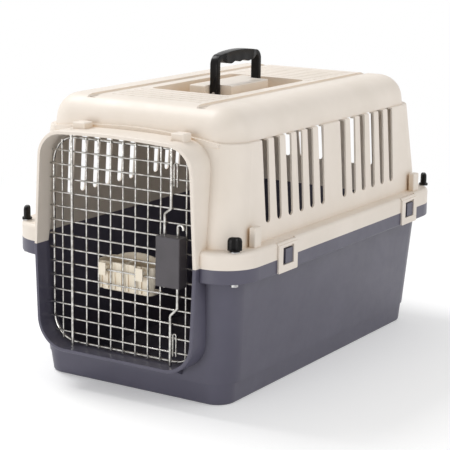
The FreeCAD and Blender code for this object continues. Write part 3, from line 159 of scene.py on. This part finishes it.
def moulded_plastic(name, tone, shade, painted_shade, roughness,
                    grain_mm=1.6, grain_depth=0.10, cloud_mm=90, gleam=0.5):
    made, tree = new_material(name)
    clouds = noise(tree, cloud_mm, 3.0, 0.55)
    colours = two_tones(tree, clouds, (0.35, shade), (0.65, tone))
    # Painted shade: where the occlusion node finds walls close by, the base colour is blended toward the
    # darker fourth colour.
    nearness = add_node(tree, "ShaderNodeAmbientOcclusion", {"samples": 8, "only_local": True}, {
        "Distance": PAINTED_SHADE_REACH})
    painted_shade_fade = add_node(tree, "ShaderNodeMapRange", inputs={
        "Value": nearness.outputs["AO"], "From Min": PAINTED_SHADE_FULL, "From Max": PAINTED_SHADE_GONE})
    body = add_node(tree, "ShaderNodeMixRGB", inputs={
        "Fac": painted_shade_fade.outputs["Result"], "Color1": linear(painted_shade), "Color2": colours})
    gloss = add_node(tree, "ShaderNodeMapRange", inputs={
        "Value": noise(tree, SMEAR_MM, 4.0, 0.6), "From Min": 0.3, "From Max": 0.7,
        "To Min": roughness - SMEAR_SMOOTHER, "To Max": roughness + SMEAR_ROUGHER})
    relief = add_node(tree, "ShaderNodeBump", inputs={
        "Strength": grain_depth, "Distance": GRAIN_RISE, "Height": noise(tree, grain_mm, 2.0, 0.5)})
    surface = add_node(tree, "ShaderNodeBsdfPrincipled", inputs={
        "Base Color": body.outputs["Color"], "Roughness": gloss.outputs["Result"], "IOR": PLASTIC_IOR,
        "Specular IOR Level": gleam, "Normal": relief.outputs["Normal"]})
    add_node(tree, "ShaderNodeOutputMaterial", inputs={"Surface": surface.outputs["BSDF"]})
    return made


# The fourth colour of each plastic is painted shade, laid into hollows, slots and concave corners.
beige_shell = moulded_plastic("beige_moulded_polypropylene", "E9DFD4", "E3D9CD", "DCC3A3", 0.46)
grey_shell = moulded_plastic("slate_moulded_polypropylene", "565463", "504E5D", "2F2C33", 0.36)
beige_dish = moulded_plastic("beige_moulded_dish", "F2E8D6", "ECE1CD", "D2BA9A", 0.40, cloud_mm=40)
print("plastics:", beige_shell.name, grey_shell.name, beige_dish.name)

# %% [markdown]
# The handle, the thumb nuts and the latch cover are nylon and ABS, smoother than the shells and
# coloured right through. They are nearly black, so their shape is told by the soft highlights
# along their rounded edges.

# %% Black nylon and dark ABS
# Here too the fourth colour is painted shade for the hollows and corners of these parts.
black_nylon = moulded_plastic("black_moulded_nylon", "100E0E", "0C0B0B", "070606", 0.30, grain_mm=1.2,
                              grain_depth=0.06, cloud_mm=30, gleam=0.16)
latch_abs = moulded_plastic("dark_grey_abs", "4C484C", "464246", "2A2829", 0.40, grain_mm=1.2,
                            grain_depth=0.06, cloud_mm=30)
print("dark plastics:", black_nylon.name, latch_abs.name)

# %% [markdown]
# The door is drawn steel wire with bright plating: a metal with a low roughness and faint duller
# patches along the wire. Where it is duller it is also rougher. Bolts and washers are zinc plated,
# so they are greyer and more diffuse.

# %% Plated steel
PATCH_ROUGHER, PATCH_SMOOTHER = 0.10, 0.04


def plated_steel(name, bright, dull, roughness, patch_mm):
    made, tree = new_material(name)
    patches = noise(tree, patch_mm, 3.0, 0.6)
    colours = two_tones(tree, patches, (0.36, dull), (0.60, bright))
    gloss = add_node(tree, "ShaderNodeMapRange", inputs={
        "Value": patches, "From Min": 0.3, "From Max": 0.7,
        "To Min": roughness + PATCH_ROUGHER, "To Max": roughness - PATCH_SMOOTHER})
    surface = add_node(tree, "ShaderNodeBsdfPrincipled", inputs={
        "Base Color": colours, "Metallic": 1.0, "Roughness": gloss.outputs["Result"]})
    add_node(tree, "ShaderNodeOutputMaterial", inputs={"Surface": surface.outputs["BSDF"]})
    return made


door_wire = plated_steel("bright_plated_wire", "D8D6D2", "A5A29D", 0.16, 9)
bolt_steel = plated_steel("zinc_plated_steel", "C4C4C4", "A6A5A4", 0.34, 4)
spring_steel = plated_steel("drawn_spring_steel", "B4B2AF", "96938F", 0.30, 3)
print("steels:", door_wire.name, bolt_steel.name, spring_steel.name)

# %% [markdown]
# The record names a material slot for every piece, so one table is enough to give each solid the
# material that was made for its slot.

# %% Give every solid its finish
finishes = {
    "beige_shell": beige_shell, "grey_shell": grey_shell, "dish_beige": beige_dish,
    "latch_grey": latch_abs, "black_plastic": black_nylon, "door_wire": door_wire,
    "bolt_steel": bolt_steel, "spring_steel": spring_steel,
}
slots = {part["node"]: part["material_slot"] for part in frame["record"]["subparts"]}
for name, node in frame["nodes"].items():
    node.data.materials.clear()
    node.data.materials.append(finishes[slots[name]])
print("finishes:", sorted(set(slots.values())))

# %% [markdown]
# The handle is one moulding: two square legs, rounded corners and a fat grip, arched on top and
# waved for the fingers underneath. It can be drawn like bent bar: a square is pulled up the front
# leg, spun round the corner, pulled along the grip in short steps that follow the arch, spun again
# and pulled down the rear leg. Only then is the grip made fat.

# %% Pull the handle's bar along its path
def pick_faces(piece, wanted):
    """Select the faces whose middle and normal are wanted; the piece is in edit mode."""
    mesh = bmesh.from_edit_mesh(piece.data)
    for face in mesh.faces:
        face.select_set(wanted(face.calc_center_median(), face.normal))
    bmesh.update_edit_mesh(piece.data)


def pick_points(piece, wanted):
    """Select the points whose place is wanted; the piece is in edit mode."""
    bpy.ops.mesh.select_all(action="DESELECT")
    mesh = bmesh.from_edit_mesh(piece.data)
    for point in mesh.verts:
        point.select_set(wanted(point.co))
    mesh.select_flush(True)
    bmesh.update_edit_mesh(piece.data)


def pull(x, y, z):
    bpy.ops.mesh.extrude_region_move(TRANSFORM_OT_translate={"value": (x, y, z)})


def spin_corner(y, z):
    bpy.ops.mesh.spin(steps=CORNER_STEPS, angle=math.pi / 2, center=(0, y, z), axis=(1, 0, 0))


def arch(along):
    """Height of the arched top over its ends, at a share of the way along the grip."""
    return CROWN * (1 - (2 * along - 1) ** 2)


handle_low, handle_high = (Vector(corner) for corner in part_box("carry_handle"))
BAR = 10.4 * MM
BAR_WIDE = 16 * MM
CORNER = 18 * MM
CORNER_STEPS = 8
CROWN = 4.5 * MM
GRIP_STEPS = 24
END_MARGIN = 0.4 * MM
SAME_POINT = 0.01 * MM
middle_y = (handle_low.y + handle_high.y) / 2
leg_y = (handle_high.y - handle_low.y) / 2 - END_MARGIN - BAR / 2
corner_y = leg_y + BAR / 2 - CORNER
corner_z = handle_high.z - CROWN - CORNER
leg_foot = (0, middle_y - leg_y, handle_low.z)

bpy.ops.object.select_all(action="DESELECT")
bpy.ops.mesh.primitive_plane_add(size=BAR, location=leg_foot)
bpy.ops.object.transform_apply(location=True, rotation=True, scale=True)
handle = bpy.context.active_object
handle.name = "moulded_handle"
bpy.ops.object.mode_set(mode="EDIT")
bpy.ops.mesh.select_all(action="SELECT")
bpy.ops.transform.resize(value=(BAR_WIDE / BAR, 1, 1), center_override=leg_foot)
pull(0, 0, corner_z - handle_low.z)
spin_corner(middle_y - corner_y, corner_z)
step = 2 * corner_y / GRIP_STEPS
for number in range(GRIP_STEPS):
    pull(0, step, arch((number + 1) / GRIP_STEPS) - arch(number / GRIP_STEPS))
spin_corner(middle_y + corner_y, corner_z)
pull(0, 0, handle_low.z - corner_z)
bpy.ops.mesh.select_all(action="DESELECT")
bpy.ops.mesh.select_interior_faces()
bpy.ops.mesh.delete(type="FACE")
bpy.ops.mesh.select_all(action="SELECT")
bpy.ops.mesh.remove_doubles(threshold=SAME_POINT)
bpy.ops.mesh.normals_make_consistent(inside=False)
print("handle bar:", len(handle.data.vertices), "points before the grip is shaped")

# %% [markdown]
# The grip is made by moving rings of points. Each ring between the corners is widened, easing in
# at both ends, and its lower points go down to give the grip its depth, with a wave for each of
# four fingers. The sides of the grip get a shallow sunk panel, and last of all every edge is rounded.

# %% Shape the grip
GRIP_WIDE = 1.2
GRIP_DEEP = 11.5 * MM
WAVE = 3 * MM
FINGERS = 4
EASE_RATE = 9
PANEL_STEPS = 3
PANEL_MARGIN, PANEL_SINK = 2.4 * MM, 0.9 * MM
EDGE_ROUND = 1.6 * MM

for number in range(GRIP_STEPS + 1):
    along = number / GRIP_STEPS
    y = middle_y - corner_y + step * number
    ease = min(1.0, EASE_RATE * min(along, 1 - along))
    pick_points(handle, lambda p: abs(p.y - y) < step / 4 and p.z > corner_z)
    widen = 1 + (GRIP_WIDE - 1) * ease
    bpy.ops.transform.resize(value=(widen, 1, 1), center_override=(0, y, handle_high.z))
    top = handle_high.z - CROWN + arch(along)
    pick_points(handle, lambda p: abs(p.y - y) < step / 4 and corner_z < p.z < top - BAR / 2)
    wave = WAVE * (1 - math.cos(2 * math.pi * FINGERS * along)) / 2
    bpy.ops.transform.translate(value=(0, 0, -ease * (GRIP_DEEP - wave)))

bpy.ops.mesh.select_all(action="DESELECT")
panel_y = corner_y - PANEL_STEPS * step
pick_faces(handle, lambda p, n: abs(n.x) > 0.8 and abs(p.y - middle_y) < panel_y and p.z > corner_z)
bpy.ops.mesh.inset(thickness=PANEL_MARGIN, depth=-PANEL_SINK)
bpy.ops.object.mode_set(mode="OBJECT")
rounding = handle.modifiers.new("rounding", "BEVEL")
rounding.width = EDGE_ROUND
rounding.segments = 3
rounding.limit_method = "ANGLE"
rounding.angle_limit = math.radians(35)
bpy.ops.object.modifier_apply(modifier=rounding.name)
bpy.ops.object.shade_smooth_by_angle(angle=math.radians(40))
handle.data.materials.append(black_nylon)
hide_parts("carry_handle")
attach(handle, "handle")
print("handle:", len(handle.data.polygons), "faces, height", round(handle.dimensions.z / MM, 1), "mm")

# %% [markdown]
# Each corner bolt ends in a thumb nut: a black wing on a round foot, with a finger groove down the
# middle of each broad face and a crown that narrows and rounds off. All four come from the same
# mould, so one is modelled at the origin from a flattened circle that is pulled up in steps, and
# the foot is joined to it.

# %% Model one thumb nut
NUT_LONG, NUT_THICK = 24 * MM, 11 * MM
NUT_TRIM = 0.98
NUT_START = 1.6 * MM
FOOT_ROUND, FOOT_TALL, FOOT_BEVEL = 8.5 * MM, 3.2 * MM, 0.9 * MM
# From and to this far from the middle, in mm, the wing is this much thicker.
LOBES = ((0, 2.0, 0.60), (2.0, 3.9, 0.84), (3.9, 10.0, 1.06))
# Up by so many mm, and then narrowed to this share.
CROWN_STEPS = ((14.6, 1.0), (3.4, 0.93), (1.9, 0.88), (1.2, 0.72))
ORIGIN = (0, 0, 0)

bpy.ops.object.select_all(action="DESELECT")
bpy.ops.mesh.primitive_cylinder_add(vertices=32, radius=FOOT_ROUND, depth=FOOT_TALL,
                                    location=(0, 0, FOOT_TALL / 2))
bpy.ops.object.transform_apply(location=True, rotation=True, scale=True)
nut_foot = bpy.context.active_object
bpy.ops.object.mode_set(mode="EDIT")
bpy.ops.mesh.select_all(action="DESELECT")
pick_faces(nut_foot, lambda p, n: n.z > 0.9)
bpy.ops.mesh.bevel(offset=FOOT_BEVEL, segments=3, affect="EDGES")
bpy.ops.object.mode_set(mode="OBJECT")

bpy.ops.object.select_all(action="DESELECT")
bpy.ops.mesh.primitive_circle_add(vertices=40, radius=NUT_LONG / 2, fill_type="NGON",
                                  location=(0, 0, NUT_START))
bpy.ops.object.transform_apply(location=True, rotation=True, scale=True)
nut = bpy.context.active_object
nut.name = "thumb_nut"
bpy.ops.object.mode_set(mode="EDIT")
bpy.ops.mesh.select_all(action="SELECT")
bpy.ops.transform.resize(value=(NUT_TRIM, NUT_THICK / NUT_LONG, 1), center_override=ORIGIN)
for inner, outer, thickness in LOBES:
    pick_points(nut, lambda p: inner * MM <= abs(p.x) < outer * MM)
    bpy.ops.transform.resize(value=(1, thickness, 1), center_override=ORIGIN)
bpy.ops.mesh.select_all(action="SELECT")
for rise, across in CROWN_STEPS:
    pull(0, 0, rise * MM)
    bpy.ops.transform.resize(value=(across, across, 1), center_override=ORIGIN)
bpy.ops.mesh.select_all(action="SELECT")
bpy.ops.mesh.normals_make_consistent(inside=False)
bpy.ops.object.mode_set(mode="OBJECT")
joining = nut.modifiers.new("joining", "BOOLEAN")
joining.operation = "UNION"
joining.object = nut_foot
bpy.ops.object.modifier_apply(modifier=joining.name)
bpy.data.objects.remove(nut_foot)
bpy.ops.object.shade_smooth_by_angle(angle=math.radians(38))
nut.data.materials.clear()
nut.data.materials.append(black_nylon)
print("thumb nut:", len(nut.data.polygons), "faces, height", round(nut.dimensions.z / MM, 1), "mm")

# %% [markdown]
# The nut is copied, turned to the angle that each one was left at, and set on its bolt. Each copy
# gets a mesh of its own that is moved to its place, so that the object itself stays at the origin.

# %% Set the thumb nuts on their bolts
def placed_copy(source, name, place):
    copy = source.copy()
    copy.data = source.data.copy()
    copy.name = name
    copy.data.transform(place)
    bpy.context.scene.collection.objects.link(copy)
    return copy


nut_angles = {"front_right": 32, "front_left": 120, "rear_right": 122, "rear_left": 60}
for corner, angle in nut_angles.items():
    low, high = (Vector(point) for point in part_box(f"thumb_nut_{corner}"))
    seat = Matrix.Translation(((low.x + high.x) / 2, (low.y + high.y) / 2, low.z))
    copy = placed_copy(nut, f"moulded_nut_{corner}", seat @ Matrix.Rotation(math.radians(angle), 4, "Z"))
    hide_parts(f"thumb_nut_{corner}")
    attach(copy, f"nut_{corner}")
bpy.data.objects.remove(nut)
print("thumb nuts:", list(nut_angles))

# %% [markdown]
# Low ribs stiffen the roof between its two grooves, before and behind the handle's recess. They
# stand less than a millimetre proud, so they are seen only as faint lines. One bar is modelled,
# with its upper edges rounded, and copied along the roof.

# %% Ribs on the roof
ROOF_Z = 488 * MM
RIB_LENGTH, RIB_WIDTH, RIB_RISE, RIB_ROOT = 176 * MM, 7 * MM, 0.9 * MM, 0.6 * MM
RIB_ROUND = 0.8 * MM
RIB_PITCH = 21 * MM
FRONT_RIBS, FRONT_RIB_Y = 5, -172 * MM
REAR_RIBS, REAR_RIB_Y = 8, 112 * MM

bpy.ops.object.select_all(action="DESELECT")
bpy.ops.mesh.primitive_cube_add(size=1, location=(0, 0, ROOF_Z + (RIB_RISE - RIB_ROOT) / 2))
rib = bpy.context.active_object
rib.name = "roof_rib"
rib.scale = (RIB_LENGTH, RIB_WIDTH, RIB_RISE + RIB_ROOT)
bpy.ops.object.transform_apply(location=True, rotation=True, scale=True)
bpy.ops.object.mode_set(mode="EDIT")
bpy.ops.mesh.select_all(action="DESELECT")
pick_faces(rib, lambda p, n: n.z > 0.9)
bpy.ops.mesh.bevel(offset=RIB_ROUND, segments=3, affect="EDGES")
bpy.ops.object.mode_set(mode="OBJECT")
bpy.ops.object.shade_smooth_by_angle(angle=math.radians(50))
rib.data.materials.append(beige_shell)

rib_places = [FRONT_RIB_Y - RIB_PITCH * number for number in range(FRONT_RIBS)]
rib_places += [REAR_RIB_Y + RIB_PITCH * number for number in range(REAR_RIBS)]
for number, y in enumerate(rib_places):
    copy = placed_copy(rib, f"roof_rib_{number + 1}", Matrix.Translation((0, y, 0)))
    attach(copy, "carrier")
bpy.data.objects.remove(rib)
print("roof ribs:", FRONT_RIBS, "in front of the recess,", REAR_RIBS, "behind it")

# %% [markdown]
# The carrier stands on a white sweep. The floor is matt white paint that takes the shadow. To the
# eye it also has a little light of its own, which lifts the lit floor to the white of the backdrop.
# Further out it fades into plain white, so no horizon shows.

# %% Floor
FLOOR_SIZE = 24.0
FADE_START, FADE_END = 0.55, 1.7
FLOOR_GLOW = 0.25

bpy.ops.object.select_all(action="DESELECT")
bpy.ops.mesh.primitive_plane_add(size=FLOOR_SIZE, location=(0, 0, 0))
floor = bpy.context.active_object
floor.name = "floor"
floor_paint, tree = new_material("white_sweep")
place = add_node(tree, "ShaderNodeTexCoord").outputs["Object"]
distance = add_node(tree, "ShaderNodeVectorMath", {"operation": "LENGTH"}, {"Vector": place})
far = add_node(tree, "ShaderNodeMapRange", {"interpolation_type": "SMOOTHSTEP"}, {
    "Value": distance.outputs["Value"], "From Min": FADE_START, "From Max": FADE_END})
paint = add_node(tree, "ShaderNodeBsdfDiffuse", inputs={"Color": linear("F2F2F2")})
rays = add_node(tree, "ShaderNodeLightPath").outputs
seen = either(tree, rays["Is Camera Ray"], rays["Is Glossy Ray"])
lift = add_node(tree, "ShaderNodeMath", {"operation": "MULTIPLY"}, {0: seen, 1: FLOOR_GLOW})
glow = add_node(tree, "ShaderNodeEmission", inputs={
    "Color": linear("FFFFFF"), "Strength": lift.outputs["Value"]})
near_floor = add_node(tree, "ShaderNodeAddShader", inputs={
    0: paint.outputs["BSDF"], 1: glow.outputs["Emission"]})
backdrop = add_node(tree, "ShaderNodeEmission", inputs={"Color": linear("FFFFFF"), "Strength": 1.0})
blend = add_node(tree, "ShaderNodeMixShader", inputs={
    0: far.outputs["Result"], 1: near_floor.outputs["Shader"], 2: backdrop.outputs["Emission"]})
add_node(tree, "ShaderNodeOutputMaterial", inputs={"Surface": blend.outputs["Shader"]})
floor.data.materials.append(floor_paint)
print("floor:", FLOOR_SIZE, "m wide, plain white from", FADE_END, "m out")

# %% [markdown]
# A white studio: an even dome that fills the shadows, one wide soft lamp high on the left that
# throws the shadow to the right, a weaker one on the right that opens up the long side, and a low
# one in front of the door for the dish and the foot. Camera, glossy and transmission rays see a
# plain white world.

# %% Studio light
DOME_LIGHT = 0.56
DOME_SEEN = 1.0

world = bpy.data.worlds.new("studio")
world.use_nodes = True
tree = world.node_tree
tree.nodes.clear()
rays = add_node(tree, "ShaderNodeLightPath").outputs
seen = either(tree, rays["Is Camera Ray"], rays["Is Glossy Ray"])
seen = either(tree, seen, rays["Is Transmission Ray"])
strength = add_node(tree, "ShaderNodeMapRange", inputs={
    "Value": seen, "To Min": DOME_LIGHT, "To Max": DOME_SEEN})
dome = add_node(tree, "ShaderNodeBackground", inputs={
    "Color": linear("FFFFFF"), "Strength": strength.outputs["Result"]})
add_node(tree, "ShaderNodeOutputWorld", inputs={"Surface": dome.outputs["Background"]})
bpy.context.scene.world = world


def soft_lamp(name, place, target, size, power):
    """A square lamp; place, target and size are in metres and the power is in watts."""
    lamp_data = bpy.data.lights.new(name, "AREA")
    lamp_data.size = size
    lamp_data.energy = power
    lamp = bpy.data.objects.new(name, lamp_data)
    bpy.context.scene.collection.objects.link(lamp)
    lamp.location = place
    lamp.rotation_euler = (Vector(target) - Vector(place)).to_track_quat("-Z", "Y").to_euler()
    return lamp


lamps = [
    soft_lamp("key", (-1.7, -0.1, 2.6), (0, 0, 0.25), 1.2, 46),
    soft_lamp("fill", (2.4, 0.2, 1.5), (0, 0, 0.25), 1.6, 15),
    soft_lamp("front", (-0.2, -2.6, 0.3), (0, -0.4, 0.02), 0.8, 15),
]
bpy.context.scene.view_settings.view_transform = "Standard"
print("lamps:", [(lamp.name, lamp.data.energy) for lamp in lamps])
